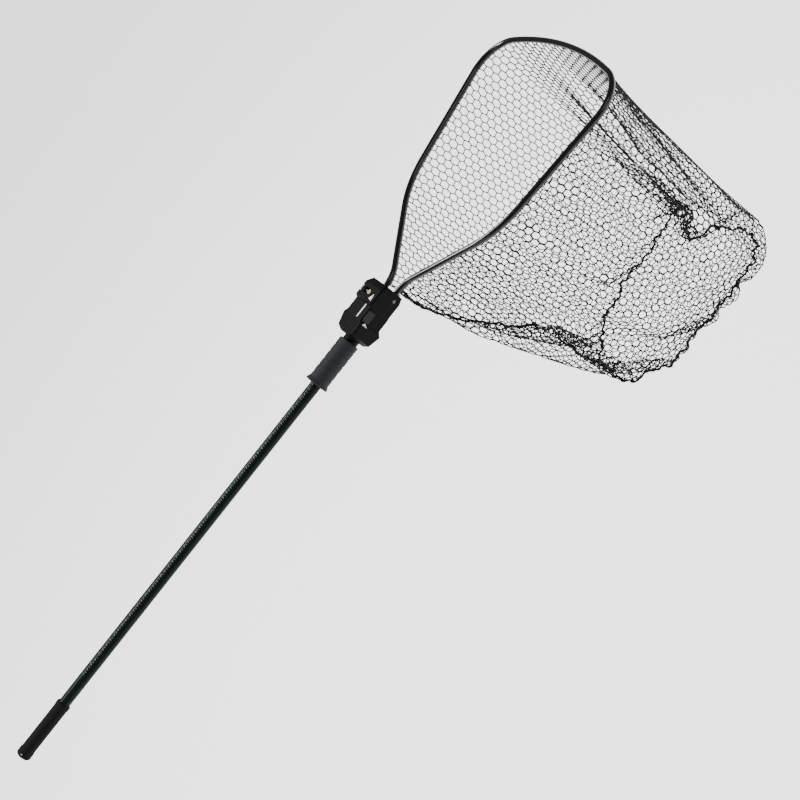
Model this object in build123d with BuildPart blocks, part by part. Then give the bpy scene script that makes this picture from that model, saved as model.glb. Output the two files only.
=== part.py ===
from build123d import *
from math import cos, radians, sin
import os

# A landing net with a sliding handle. Millimetres. The handle lies along X with the hoop at +X,
# the hoop's mouth faces +Z and the bag hangs towards -Z. The origin is on the handle's axis,
# in the middle of the bare stretch of tube between the two grips.

# ---------------------------------------------------------------- driving dimensions
# Handle
tube_d = 24.6            # handle tube, outside diameter
tube_wall = 1.5
bare_length = 826.0      # bare tube between the two grips, net extended
rear_grip_length = 124.0
rear_grip_wall = 2.5
collar_wall = 3.4        # slight flare at the rear grip's front end
collar_length = 8.0
collar_taper = 6.3
collar_edge = 2.2        # chamfer round the collar's front edge
butt_wall = 3.7          # butt cap's rim, outside the tube
butt_length = 16.3       # part of the butt cap that shows behind the grip
butt_taper = 5.4         # the grip swells to the cap over this length
cap_spigot = 27.0        # part of the butt cap inside the tube
butt_dome = 7.2
rivet_d = 3.6
rivet_length = 6.0
rivet_proud = 0.4
rivet_angle = 45.0       # rivet's direction, up from -Y towards +Z
stop_wall = 1.6          # front stop's flange, outside the tube
stop_flange = 4.5
stop_spigot = 20.0
stop_edge = 1.0

# Front grip and the sleeve that it is pushed on
bush_wall = 2.1
bush_length = 14.5
sleeve_wall = 2.7        # sleeve, outside the bush
sleeve_start = 2.7       # the grip's end hides the sleeve's rear face
sleeve_seat = 18.0       # part of the sleeve inside the yoke
grip_length = 109.4
grip_wall = 5.1
grip_flange = 3.6        # the flange at the grip's rear end, proud of the grip
grip_flange_length = 2.7
grip_flange_taper = 8.1
grip_lip = 1.1           # the grip's rear face reaches in this close to the tube
grip_neck = 9.0         # bare sleeve between the grip and the yoke
grip_edge = 1.8
groove_count = 5
groove_first = 18.6      # first groove, ahead of the grip's rear face
groove_pitch = 17.7
groove_width = 2.0
groove_depth = 1.1
groove_jog = 5.9         # the near half of each groove runs this much further forward
jog_arc = 10.3           # length round the grip of the slanted link
jog_angle = 46.0         # the link's direction, from +Z towards -Y

# Yoke
yoke_length = 124.8
yoke_corner = 5.4
leg_depth = 79.6         # hoop leg inside the yoke
leg_web = 4.2           # plastic between the front bush and the leg
leg_wall = 4.5          # plastic outside the leg at the yoke's waist
front_recess = 12.7      # counterbore that the front stop seats in
shell_margin = 1.1       # plastic under the stop's recess
head_flare = 1.8         # the head, wider than the waist on each side
roof = 1.8               # plastic over the plunger's guide
screw_d = 3.5
screw_head_d = 6.9
screw_head = 3.3
screw_sunk = 0.5         # heads lie this far below the surface
shell_screw_spots = [(12.7, 6.3), (34.4, 11.8)]  # ahead of the yoke's rear face, out from the sleeve
shell_screw_reach = 15.8  # the shell screws' tips, above the parting plane
leg_screw_x = 15.4       # behind the yoke's front face
leg_screw_tip = 0.9      # the leg screws end this far inside the leg's wall

# Hoop
hoop_d = 12.7
hoop_wall = 1.4
hoop_rise = 3.3          # degrees that the hoop's plane rises towards the tip
neck_x = 27.2            # ahead of the yoke, where the legs turn outwards
shoulder_x = 208.0
shoulder_y = 194.5
corner_y = 254.0
tip_x = 624.0            # where the tip's two runs would meet ahead of the yoke
tip_rise = 65.0          # how far each of them comes forward from its corner
neck_radius = 63.0
shoulder_radius = 208.0
corner_radius = 83.0
tip_radius = 714.0

# Release and brake
button_x = 53.4          # ahead of the yoke's rear face
button_length = 25.3
button_height = 16.3
button_cap = 7.2
button_proud = 2.3
button_over_fork = 0.5   # the cap's middle, above the fork's
button_corner = 1.4
button_edge = 0.7
button_travel = 2.7      # the brake lifts as far as the button goes in
fork_gap = 3.2           # between the plunger and each arm of the fork
fork_thick = 3.6
fork_height = 9.0
fork_above_tube = 5.2
fork_reach = 4.5         # the fork's arms end this far past the axis
cross_pin_d = 2.5
cross_pin_up = 3.35       # above the fork's lower face
plunger_d = 10.9
plunger_length = 10.6
shoe_length = 16.3
shoe_width = 14.5
shoe_height = 6.4        # brake shoe at its crown, above the tube
cup_wall = 1.3
cup_floor = 1.7          # between the cross pin and the spring's cup
spring_wire = 0.9
spring_turns = 5.0

# Cross bolt in the slot across the yoke's roof
bolt_x = 95.0           # ahead of the yoke's rear face
bolt_d = 5.4
bolt_head = 8.1
bolt_head_long = 1.8     # the head is this much longer along X
bolt_head_edge = 0.7
slot_length = 12.7
slot_floor = 13.6        # plastic between the front bush's bore and the slot
slot_near_y = -10.9
slot_far_y = 18.1
slot_over = 6.1          # roof above the bolt's axis
bolt_head_set = 9.0     # the head's seat, in from the yoke's far side
bolt_reach = 21.7        # the bolt's tip, on the near side of the axis
nut_y = 4.5

# Net
net_skin = 2.7           # thickness that stands for the slack mesh
rim_gap = 5.0            # between the rim cord and the bag's top edge
bag_depth = 588.0
base_nose_x = 168.0      # base panel, ahead of the yoke's front face
base_shoulder_x = 281.0
base_half_width = 152.0
base_tip_past = 34.4     # the base panel reaches this far past the hoop's corners
base_corner = 54.0
base_nose_half = 36.0
base_nose_radius = 27.0
wall_panels = 16
mouth_margin = 7.2       # the bag and its rim cord begin this far and half as far out of the yoke
rim_cord_d = 2.7
lacing_d = 4.0
knot_d = 8.2
knot_x = 1.8             # ahead of the yoke's front face
throat_x = 14.5          # the throat cord, ahead of the yoke's front face
throat_side = 3.6        # its bends, beside the tube
throat_bend = 7.2

# Clearances
running = 0.05           # radial, sliding fits
seat = 0.02              # radial, pieces fixed together
free = 0.3               # moving pieces that never touch
slip = 0.1               # the cross pin in its slanted slots, and each end of the spring
touch = 0.15             # cords beside the hoop and the base
knot_gap = 1.0           # between the yoke and the knot
throat_gap = 1.5         # between the front stop and the throat cord
past = 1.0               # cutters run this far past a face

# ---------------------------------------------------------------- places worked out from them
tube_r = tube_d / 2
tube_inner = tube_r - tube_wall
bush_r = tube_r + bush_wall
sleeve_bore = tube_r + free
sleeve_r = bush_r + sleeve_wall
grip_r = sleeve_r + grip_wall
butt_r = tube_r + butt_wall
stop_r = tube_r + stop_wall
hoop_r = hoop_d / 2
leg_y = bush_r + leg_web + hoop_r              # half the spacing of the legs at the yoke
x_rear_grip = -bare_length / 2                 # front face of the rear grip
x_butt = x_rear_grip - rear_grip_length        # where the butt cap begins to show
x_front_grip = bare_length / 2                 # rear face of the front grip
x_sleeve = x_front_grip + sleeve_start
x_yoke = x_front_grip + grip_length + grip_neck
x_front = x_yoke + yoke_length                 # yoke's front face
x_stop = x_front - front_recess                # tube's front end, on its stop
corner_x = tip_x - tip_rise
hoop_plane = Plane(
    origin=(x_front, 0, 0),
    x_dir=(cos(radians(hoop_rise)), 0, sin(radians(hoop_rise))),
    z_dir=(-sin(radians(hoop_rise)), 0, cos(radians(hoop_rise))),
)
along_x = Plane.YZ                             # local x is +Y, local y is +Z, normal +X

# Heights above the handle's axis, from the tube outwards
fork_bottom = tube_r + fork_above_tube
fork_top = fork_bottom + fork_height
cross_pin_z = fork_bottom + cross_pin_up
shoe_top = tube_r + shoe_height
plunger_top = shoe_top + plunger_length
cup_bottom = cross_pin_z + cross_pin_d / 2 + cup_floor
guide_top = plunger_top + button_travel + free
waist_top = guide_top + roof
slot_bottom = bush_r + slot_floor
bolt_z = slot_bottom + bolt_d
head_top = bolt_z + slot_over

# Half widths
waist_half = leg_y + hoop_r + leg_wall
head_half = waist_half + head_flare
button_inner = waist_half + button_proud - button_cap   # the cap's inner face
fork_inner = plunger_d / 2 + fork_gap
chamber_half = fork_inner + fork_thick + free
bolt_head_y = head_half - bolt_head_set

# Sections along the yoke, each: distance from its rear face, half width, bottom and top.
yoke_sections = [
    (0, sleeve_r + 5.4, -sleeve_r - 2.7, sleeve_r + 7.2),
    (7.2, waist_half + 0.9, -sleeve_r - 5.4, sleeve_r + 11.8),
    (34.4, waist_half + 6.3, -sleeve_r - 9.5, waist_top - 0.3),
    (44.3, waist_half, -bush_r - 5.9, waist_top),
    (72.4, waist_half, -bush_r - 5.9, waist_top),
    (76.9, head_half, -bush_r - 3.6, head_top),
    (110.3, head_half, -bush_r - 3.6, head_top),
    (yoke_length, waist_half - 1.8, -stop_r - free - shell_margin, bush_r + 17.2),
]

os.makedirs("parts", exist_ok=True)


def save(builder, name):
    builder.part.label = name
    export_step(builder.part, f"parts/{name}.step")


def yoke_level(distance):
    """The height of the yoke's underside at a distance from its rear face."""
    for (d0, _, low0, _), (d1, _, low1, _) in zip(yoke_sections, yoke_sections[1:]):
        if d0 <= distance <= d1:
            return low0 + (low1 - low0) * (distance - d0) / (d1 - d0)


# ---------------------------------------------------------------- handle
with BuildPart() as handle_tube:
    with BuildSketch(along_x.offset(x_butt)):
        Circle(tube_r)
        Circle(tube_inner, mode=Mode.SUBTRACT)
    extrude(amount=x_stop - x_butt)
save(handle_tube, "handle_tube")

# The front stop: a spigot in the tube and a flange that seats in the yoke's recess.
with BuildPart() as front_stop:
    with BuildSketch(along_x.offset(x_stop)):
        Circle(stop_r)
    extrude(amount=stop_flange)
    with BuildSketch(along_x.offset(x_stop)):
        Circle(tube_inner - seat)
    extrude(amount=-stop_spigot)
    chamfer(front_stop.faces().sort_by(Axis.X)[-1].edges(), stop_edge)
save(front_stop, "front_stop")

# Rear grip: a foam sleeve with a flared front collar.
with BuildPart() as rear_grip:
    with BuildSketch(Plane.XZ):
        with BuildLine():
            Polyline(
                (x_butt, tube_r + seat),
                (x_rear_grip, tube_r + seat),
                (x_rear_grip, tube_r + collar_wall - collar_edge),
                (x_rear_grip - collar_edge, tube_r + collar_wall),
                (x_rear_grip - collar_length, tube_r + collar_wall),
                (x_rear_grip - collar_length - collar_taper, tube_r + rear_grip_wall),
                (x_butt + butt_taper, tube_r + rear_grip_wall),
                (x_butt, butt_r),
                close=True,
            )
        make_face()
    revolve(axis=Axis.X)
save(rear_grip, "rear_grip")

# Butt cap: a domed rubber end with a spigot in the tube and a rivet hole in its rim.
rivet_plane = Plane(
    origin=(x_butt - butt_length / 2, 0, 0),
    z_dir=(0, -cos(radians(rivet_angle)), sin(radians(rivet_angle))),
).offset(butt_r + rivet_proud - rivet_length)
with BuildPart() as butt_cap:
    with BuildSketch(along_x.offset(x_butt)):
        Circle(butt_r)
    extrude(amount=-butt_length)
    fillet(butt_cap.faces().sort_by(Axis.X)[0].edges(), butt_dome)
    with BuildSketch(along_x.offset(x_butt)):
        Circle(tube_inner - seat)
    extrude(amount=cap_spigot)
    with BuildSketch(rivet_plane):
        Circle(rivet_d / 2 + seat)
    extrude(amount=rivet_length + past, mode=Mode.SUBTRACT)
save(butt_cap, "butt_cap")

with BuildPart() as butt_rivet:
    with BuildSketch(rivet_plane):
        Circle(rivet_d / 2)
    extrude(amount=rivet_length)
save(butt_rivet, "butt_rivet")

# ---------------------------------------------------------------- front grip
with BuildPart() as grip_sleeve:
    with BuildSketch(along_x.offset(x_sleeve)):
        Circle(sleeve_r)
        Circle(sleeve_bore, mode=Mode.SUBTRACT)
    extrude(amount=x_yoke + sleeve_seat - x_sleeve)
    with BuildSketch(along_x.offset(x_sleeve)):
        Circle(bush_r + seat)
    extrude(amount=bush_length, mode=Mode.SUBTRACT)
save(grip_sleeve, "grip_sleeve")


def groove_cutter(x_start):
    """A ring groove whose near half runs further forward, with two slanted links between the halves."""
    crest = Vector(0, -sin(radians(jog_angle)), cos(radians(jog_angle)))
    near = Vector(0, -cos(radians(jog_angle)), -sin(radians(jog_angle)))
    with BuildPart() as cutter:
        for side, x_half in ((-1, x_start), (1, x_start + groove_jog)):
            with BuildSketch(Plane(origin=(x_half, 0, 0), x_dir=near, z_dir=(1, 0, 0))):
                Circle(grip_r + past)
                Circle(grip_r - groove_depth, mode=Mode.SUBTRACT)
                with Locations((side * (grip_r + past + jog_arc / 2), 0)):
                    Rectangle(2 * (grip_r + past), 2 * (grip_r + past), mode=Mode.INTERSECT)
            extrude(amount=groove_width)
        for side in (-1, 1):
            far = side * jog_arc / 2
            link = Plane(origin=(x_start, 0, 0), x_dir=(1, 0, 0), z_dir=side * crest)
            with BuildSketch(link.offset(grip_r - groove_depth)):
                Polygon(
                    (0, far),
                    (groove_jog, -far),
                    (groove_jog + groove_width, -far),
                    (groove_width, far),
                    align=None,
                )
            extrude(amount=groove_depth + past)
    return cutter.part


with BuildPart() as front_grip:
    with BuildSketch(Plane.XZ):
        with BuildLine():
            Polyline(
                (x_front_grip, tube_r + grip_lip),
                (x_sleeve - seat, tube_r + grip_lip),
                (x_sleeve - seat, sleeve_r + seat),
                (x_front_grip + grip_length, sleeve_r + seat),
                (x_front_grip + grip_length, grip_r - grip_edge),
                (x_front_grip + grip_length - grip_edge, grip_r),
                (x_front_grip + grip_flange_length + grip_flange_taper, grip_r),
                (x_front_grip + grip_flange_length, grip_r + grip_flange),
                (x_front_grip + grip_edge / 2, grip_r + grip_flange),
                (x_front_grip, grip_r + grip_flange - grip_edge / 2),
                close=True,
            )
        make_face()
    revolve(axis=Axis.X)
    for index in range(groove_count):
        add(groove_cutter(x_front_grip + groove_first + index * groove_pitch), mode=Mode.SUBTRACT)
save(front_grip, "front_grip")

# Two plain bushes carry the tube: one in the sleeve's rear end, one in the yoke's front.
with BuildPart() as rear_bush:
    with BuildSketch(along_x.offset(x_sleeve)):
        Circle(bush_r)
        Circle(tube_r + running, mode=Mode.SUBTRACT)
    extrude(amount=bush_length)
save(rear_bush, "rear_bush")

with BuildPart() as front_bush:
    with BuildSketch(along_x.offset(x_stop - bush_length)):
        Circle(bush_r)
        Circle(tube_r + running, mode=Mode.SUBTRACT)
    extrude(amount=bush_length)
save(front_bush, "front_bush")


# ---------------------------------------------------------------- hoop
def hoop_path(offset_z=0.0):
    """The hoop's centreline as a wire, from one leg's end round the tip to the other's."""
    half = [(-leg_depth, leg_y), (neck_x, leg_y), (shoulder_x, shoulder_y), (corner_x, corner_y)]
    points = half + [(tip_x, 0)] + [(x, -y) for x, y in reversed(half)]
    radii = [neck_radius, shoulder_radius, corner_radius]
    with BuildLine(hoop_plane.offset(offset_z)) as line:
        FilletPolyline(*points, radius=radii + [tip_radius] + radii[::-1])
    return line.wire()


path = hoop_path()
leg_screw_z = hoop_plane.from_local_coords((-leg_screw_x, 0, 0)).Z
leg_screw_planes = [
    Plane(origin=(x_front - leg_screw_x, side * leg_y, leg_screw_z), z_dir=(0, side, 0))
    for side in (-1, 1)
]
with BuildPart() as hoop_tube:
    with BuildSketch(Plane(origin=path @ 0, z_dir=path % 0)):
        Circle(hoop_r)
        Circle(hoop_r - hoop_wall, mode=Mode.SUBTRACT)
    sweep(path=path)
    for outward in leg_screw_planes:
        with BuildSketch(outward):
            Circle(screw_d / 2 + seat)
        extrude(amount=hoop_r + past, mode=Mode.SUBTRACT)
save(hoop_tube, "hoop_tube")

# ---------------------------------------------------------------- yoke
button_z = fork_bottom + fork_height / 2 + button_over_fork
x_button = x_yoke + button_x
x_bolt = x_yoke + bolt_x
leg_screw_seat = head_half - screw_head - leg_y     # under the head, from the leg's middle

# The shells' screws stand beside the sleeve, each: distance from the rear face, y and surface below.
shell_screw_rows = [
    (distance, sleeve_r + aside, yoke_level(distance)) for distance, aside in shell_screw_spots
]

with BuildPart() as yoke_body:
    for distance, half_width, low, high in yoke_sections:
        with BuildSketch(along_x.offset(x_yoke + distance)):
            with Locations((0, (low + high) / 2)):
                RectangleRounded(2 * half_width, high - low, yoke_corner)
    loft(ruled=True)
    # the handle's bore, with seats for the sleeve and the front bush, and the stop's recess
    for start, length, radius in [
        (x_yoke - past, yoke_length + 2 * past, sleeve_bore),
        (x_yoke - past, sleeve_seat + past, sleeve_r + seat),
        (x_stop - bush_length, bush_length, bush_r + seat),
        (x_stop, front_recess + past, stop_r + free),
    ]:
        with BuildSketch(along_x.offset(start)):
            Circle(radius)
        extrude(amount=length, mode=Mode.SUBTRACT)
    # the hoop's legs
    with BuildSketch(Plane(origin=path @ 0, z_dir=path % 0)):
        Circle(hoop_r + seat)
    sweep(path=path, mode=Mode.SUBTRACT)
    # screws into the legs, from both sides
    for outward in leg_screw_planes:
        with BuildSketch(outward):
            Circle(screw_d / 2 + seat)
        extrude(amount=head_half, mode=Mode.SUBTRACT)
        with BuildSketch(outward.offset(leg_screw_seat)):
            Circle(screw_head_d / 2 + seat)
        extrude(amount=head_half, mode=Mode.SUBTRACT)
    # screws that close the two shells, from below
    for distance, screw_y, bottom in shell_screw_rows:
        spots = [(x_yoke + distance, screw_y), (x_yoke + distance, -screw_y)]
        with BuildSketch(Plane.XY.offset(bottom - screw_d)):
            with Locations(*spots):
                Circle(screw_d / 2 + seat)
        extrude(amount=shell_screw_reach + screw_sunk - bottom + screw_d, mode=Mode.SUBTRACT)
        with BuildSketch(Plane.XY.offset(bottom - screw_d)):
            with Locations(*spots):
                Circle(screw_head_d / 2 + seat)
        extrude(amount=screw_d + screw_sunk + screw_head, mode=Mode.SUBTRACT)
    # the button's window in the near wall, the fork's chamber and the plunger's guide
    with BuildSketch(Plane.XZ.offset(button_inner - button_travel - free)):
        with Locations((x_button, button_z)):
            Rectangle(button_length + 2 * free, button_height + 2 * free)
    extrude(amount=waist_half, mode=Mode.SUBTRACT)
    chamber_far = fork_reach + button_travel + past
    with BuildSketch(Plane.XY.offset(fork_bottom - free)):
        with Locations((x_button, (chamber_far - button_inner) / 2)):
            Rectangle(2 * chamber_half, chamber_far + button_inner)
    extrude(amount=fork_height + 2 * free, mode=Mode.SUBTRACT)
    with BuildSketch(Plane.XY.offset(fork_top)):
        with Locations((x_button, 0)):
            Circle(plunger_d / 2 + running)
    extrude(amount=guide_top - fork_top, mode=Mode.SUBTRACT)
    with BuildSketch(Plane.XY):
        with Locations((x_button, 0)):
            Rectangle(shoe_length + 2 * free, shoe_width + 2 * free)
    extrude(amount=shoe_top, mode=Mode.SUBTRACT)
    # the slot across the roof, the notch for the bolt's head and the bolt's hole
    with BuildSketch(Plane.XY.offset(slot_bottom)):
        with Locations((x_bolt, (slot_far_y + slot_near_y) / 2)):
            Rectangle(slot_length, slot_far_y - slot_near_y)
        with Locations((x_bolt, bolt_head_y + bolt_head_set)):
            Rectangle(slot_length, 2 * bolt_head_set)
    extrude(amount=head_top, mode=Mode.SUBTRACT)
    with BuildSketch(Plane.XZ.offset(-bolt_head_y)):
        with Locations((x_bolt, bolt_z)):
            Circle(bolt_d / 2 + seat)
    extrude(amount=bolt_head_y + bolt_reach, mode=Mode.SUBTRACT)

with BuildPart() as yoke_upper:
    add(yoke_body.part)
    split(bisect_by=Plane.XY, keep=Keep.TOP)
save(yoke_upper, "yoke_upper")

with BuildPart() as yoke_lower:
    add(yoke_body.part)
    split(bisect_by=Plane.XY, keep=Keep.BOTTOM)
save(yoke_lower, "yoke_lower")

with BuildPart() as shell_screws:
    for distance, screw_y, bottom in shell_screw_rows:
        spots = [(x_yoke + distance, screw_y), (x_yoke + distance, -screw_y)]
        with BuildSketch(Plane.XY.offset(bottom + screw_sunk)):
            with Locations(*spots):
                Circle(screw_head_d / 2)
        extrude(amount=screw_head)
        with BuildSketch(Plane.XY.offset(bottom + screw_sunk)):
            with Locations(*spots):
                Circle(screw_d / 2)
        extrude(amount=shell_screw_reach - bottom - screw_sunk)
save(shell_screws, "shell_screws")

leg_screw_start = hoop_r - hoop_wall - leg_screw_tip
with BuildPart() as leg_screws:
    for outward in leg_screw_planes:
        with BuildSketch(outward.offset(leg_screw_start)):
            Circle(screw_d / 2)
        extrude(amount=leg_screw_seat - leg_screw_start)
        with BuildSketch(outward.offset(leg_screw_seat)):
            Circle(screw_head_d / 2)
        extrude(amount=screw_head - screw_sunk)
save(leg_screws, "leg_screws")

with BuildPart() as cross_bolt:
    with BuildSketch(Plane.XZ.offset(-bolt_head_y)):
        with Locations((x_bolt, bolt_z)):
            Circle(bolt_d / 2)
    extrude(amount=bolt_head_y + bolt_reach - free)
    with BuildSketch(Plane.XZ.offset(-bolt_head_y)):
        with Locations((x_bolt, bolt_z)):
            Rectangle(bolt_head + bolt_head_long, bolt_head)
    extrude(amount=-bolt_head)
    chamfer(cross_bolt.faces().sort_by(Axis.Y)[-1].edges(), bolt_head_edge)
save(cross_bolt, "cross_bolt")

with BuildPart() as bolt_nut:
    with BuildSketch(Plane.XZ.offset(-nut_y)):
        with Locations((x_bolt, bolt_z)):
            Rectangle(bolt_head + bolt_head_long / 2, bolt_head)
            Circle(bolt_d / 2 + seat, mode=Mode.SUBTRACT)
    extrude(amount=bolt_head)
save(bolt_nut, "bolt_nut")

# ---------------------------------------------------------------- release button and brake
with BuildPart() as release_button:
    with BuildSketch(Plane.XZ.offset(button_inner)):
        with Locations((x_button, button_z)):
            RectangleRounded(button_length, button_height, button_corner)
    extrude(amount=button_cap)
    chamfer(release_button.faces().sort_by(Axis.Y)[0].edges(), button_edge)
    # the fork's two arms reach past the plunger, each with a slanted slot for the cross pin
    with BuildSketch(Plane.XY.offset(fork_bottom)):
        for side in (-1, 1):
            arm_x = x_button + side * (fork_inner + fork_thick / 2)
            with Locations((arm_x, (fork_reach - button_inner) / 2)):
                Rectangle(fork_thick, fork_reach + button_inner)
    extrude(amount=fork_height)
    with BuildSketch(along_x.offset(x_button - chamber_half)):
        with Locations((-button_travel / 2, cross_pin_z + button_travel / 2)):
            SlotCenterToCenter(button_travel * 2**0.5, cross_pin_d + 2 * slip, rotation=135)
    extrude(amount=2 * chamber_half, mode=Mode.SUBTRACT)
save(release_button, "release_button")

with BuildPart() as lock_plunger:
    with BuildSketch(Plane.XY.offset(shoe_top)):
        with Locations((x_button, 0)):
            Circle(plunger_d / 2)
    extrude(amount=plunger_length)
    with BuildSketch(Plane.XY.offset(cup_bottom)):
        with Locations((x_button, 0)):
            Circle(plunger_d / 2 - cup_wall)
    extrude(amount=plunger_length, mode=Mode.SUBTRACT)
    with BuildSketch(along_x.offset(x_button - plunger_d)):
        with Locations((0, cross_pin_z)):
            Circle(cross_pin_d / 2 + seat)
    extrude(amount=2 * plunger_d, mode=Mode.SUBTRACT)
save(lock_plunger, "lock_plunger")

with BuildPart() as cross_pin:
    with BuildSketch(along_x.offset(x_button - fork_inner - fork_thick)):
        with Locations((0, cross_pin_z)):
            Circle(cross_pin_d / 2)
    extrude(amount=2 * (fork_inner + fork_thick))
save(cross_pin, "cross_pin")

with BuildPart() as brake_shoe:
    with BuildSketch(Plane.XY.offset(tube_r / 2)):
        with Locations((x_button, 0)):
            Rectangle(shoe_length, shoe_width)
    extrude(amount=shoe_top - tube_r / 2)
    with BuildSketch(along_x.offset(x_button - shoe_length)):
        Circle(tube_r + running)
    extrude(amount=2 * shoe_length, mode=Mode.SUBTRACT)
save(brake_shoe, "brake_shoe")

coil_height = guide_top - cup_bottom - spring_wire - 2 * slip
coil = Helix(
    pitch=coil_height / spring_turns,
    height=coil_height,
    radius=plunger_d / 2 - cup_wall - free - spring_wire,
    center=(x_button, 0, cup_bottom + slip + spring_wire / 2),
)
with BuildPart() as plunger_spring:
    with BuildSketch(Plane(origin=coil @ 0, z_dir=coil % 0)):
        Circle(spring_wire / 2)
    sweep(path=coil, is_frenet=True)
save(plunger_spring, "plunger_spring")

# ---------------------------------------------------------------- net
cord_under = hoop_r + rim_cord_d / 2 + touch
rim_plane = hoop_plane.offset(-(cord_under + rim_cord_d / 2 + rim_gap))
base_plane = Plane(origin=(x_front, 0, -bag_depth))
base_tip_x = corner_x + base_tip_past
base_half = [
    (base_nose_x, 0),
    (base_nose_x, base_nose_half),
    (base_shoulder_x, base_half_width),
    (base_tip_x, base_half_width),
    (base_tip_x, 0),
]
base_radii = [base_nose_radius, base_corner, base_corner]
with BuildLine(base_plane) as base_line:
    FilletPolyline(*base_half, radius=base_radii)
base_wire = base_line.wire()


def skin(outer):
    """The same ring of points one skin's thickness further in."""
    inner = []
    for k, (x, y) in enumerate(outer):
        before, after = outer[k - 1], outer[(k + 1) % len(outer)]
        along = Vector(after[0] - before[0], after[1] - before[1], 0).normalized()
        inner.append((x + along.Y * net_skin, y - along.X * net_skin))
    return inner


mouth_start = (leg_depth + mouth_margin) / path.length
mouth_share = 1 - 2 * mouth_start
rim_steps = [mouth_start + mouth_share * k / (wall_panels - 1) for k in range(wall_panels)]
base_steps = [(2 * k + 1) / wall_panels for k in range(wall_panels // 2)]
rim_local = [hoop_plane.to_local_coords(path.position_at(t)) for t in rim_steps]
base_local = [base_plane.to_local_coords(base_wire.position_at(t)) for t in base_steps]
rim_outer = [(p.X, p.Y) for p in rim_local]
base_outer = [(p.X, p.Y) for p in base_local] + [(p.X, -p.Y) for p in reversed(base_local)]
rim_inner = skin(rim_outer)
base_inner = skin(base_outer)

# The wall is a ring of ruled panels from the hoop down to the base.
panels = []
for k in range(wall_panels):
    n = (k + 1) % wall_panels
    with BuildPart() as panel:
        with BuildSketch(rim_plane):
            Polygon(rim_outer[k], rim_outer[n], rim_inner[n], rim_inner[k], align=None)
        with BuildSketch(base_plane):
            Polygon(base_outer[k], base_outer[n], base_inner[n], base_inner[k], align=None)
        loft(ruled=True)
    panels.append(panel.part)
net_wall = Compound(children=panels)
net_wall.label = "net_wall"
export_step(net_wall, "parts/net_wall.step")

with BuildPart() as net_base:
    with BuildSketch(base_plane):
        with BuildLine():
            FilletPolyline(*base_half, radius=base_radii)
            mirror(about=Plane.XZ)
        make_face()
    extrude(amount=-net_skin)
save(net_base, "net_base")

# The rim cord lies under the hoop; a short cord closes it across the throat, below the handle.
rim_start = (leg_depth + mouth_margin / 2) / path.length
rim_line = hoop_path(-cord_under).trim(rim_start, 1 - rim_start)
with BuildPart() as rim_cord:
    with BuildSketch(Plane(origin=rim_line @ 0, z_dir=rim_line % 0)):
        Circle(rim_cord_d / 2)
    sweep(path=rim_line)
save(rim_cord, "rim_cord")

throat_z = -stop_r - rim_cord_d / 2 - throat_gap
throat_end = (leg_y + rim_cord_d / 2 + touch, -cord_under - rim_cord_d)
with BuildPart() as throat_cord:
    with BuildLine(along_x.offset(x_front + throat_x)) as throat_line:
        FilletPolyline(
            (-throat_end[0], throat_end[1]),
            (-tube_r - throat_side, throat_z),
            (tube_r + throat_side, throat_z),
            throat_end,
            radius=throat_bend,
        )
    throat_wire = throat_line.wire()
    with BuildSketch(Plane(origin=throat_wire @ 0, z_dir=throat_wire % 0)):
        Circle(rim_cord_d / 2)
    sweep(path=throat_wire)
save(throat_cord, "throat_cord")

# Heavier cord laces the wall to the base all round, and closes the wall's side seam.
lacing_plane = base_plane.offset(-net_skin - lacing_d / 2 - touch)
with BuildPart() as base_lacing:
    with BuildLine(lacing_plane) as lacing_line:
        FilletPolyline(*base_half, radius=base_radii)
    lacing_wire = lacing_line.wire()
    with BuildSketch(Plane(origin=lacing_wire @ 0, z_dir=lacing_wire % 0)):
        Circle(lacing_d / 2)
    sweep(path=lacing_wire)
    mirror(about=Plane.XZ)
save(base_lacing, "base_lacing")

knot_centre = Vector(x_front + knot_x, 0, yoke_sections[-1][2] - knot_gap - knot_d / 2)
seam_end = Vector(x_front + base_nose_x - lacing_d, 0, -bag_depth)
seam_run = seam_end - knot_centre
with BuildPart() as side_lacing:
    with BuildSketch(Plane(origin=knot_centre, z_dir=seam_run)):
        Circle(lacing_d / 2)
    extrude(amount=seam_run.length)
save(side_lacing, "side_lacing")

with BuildPart() as rim_knot:
    with Locations(knot_centre):
        Sphere(knot_d / 2)
save(rim_knot, "rim_knot")
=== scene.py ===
# %% [markdown]
# A landing net: a long tube handle, a moulded yoke and a teardrop hoop come from the CAD frame,
# and this lesson gives them their finishes. The mesh bag is grown here, knot by knot: a net is
# far too open to be drawn as a surface, so every strand is real geometry. First the frame is
# loaded, and its box is kept, because the finished model must stay close to it. Three small
# helpers follow, for making meshes and for adding nodes to any tree.

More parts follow.
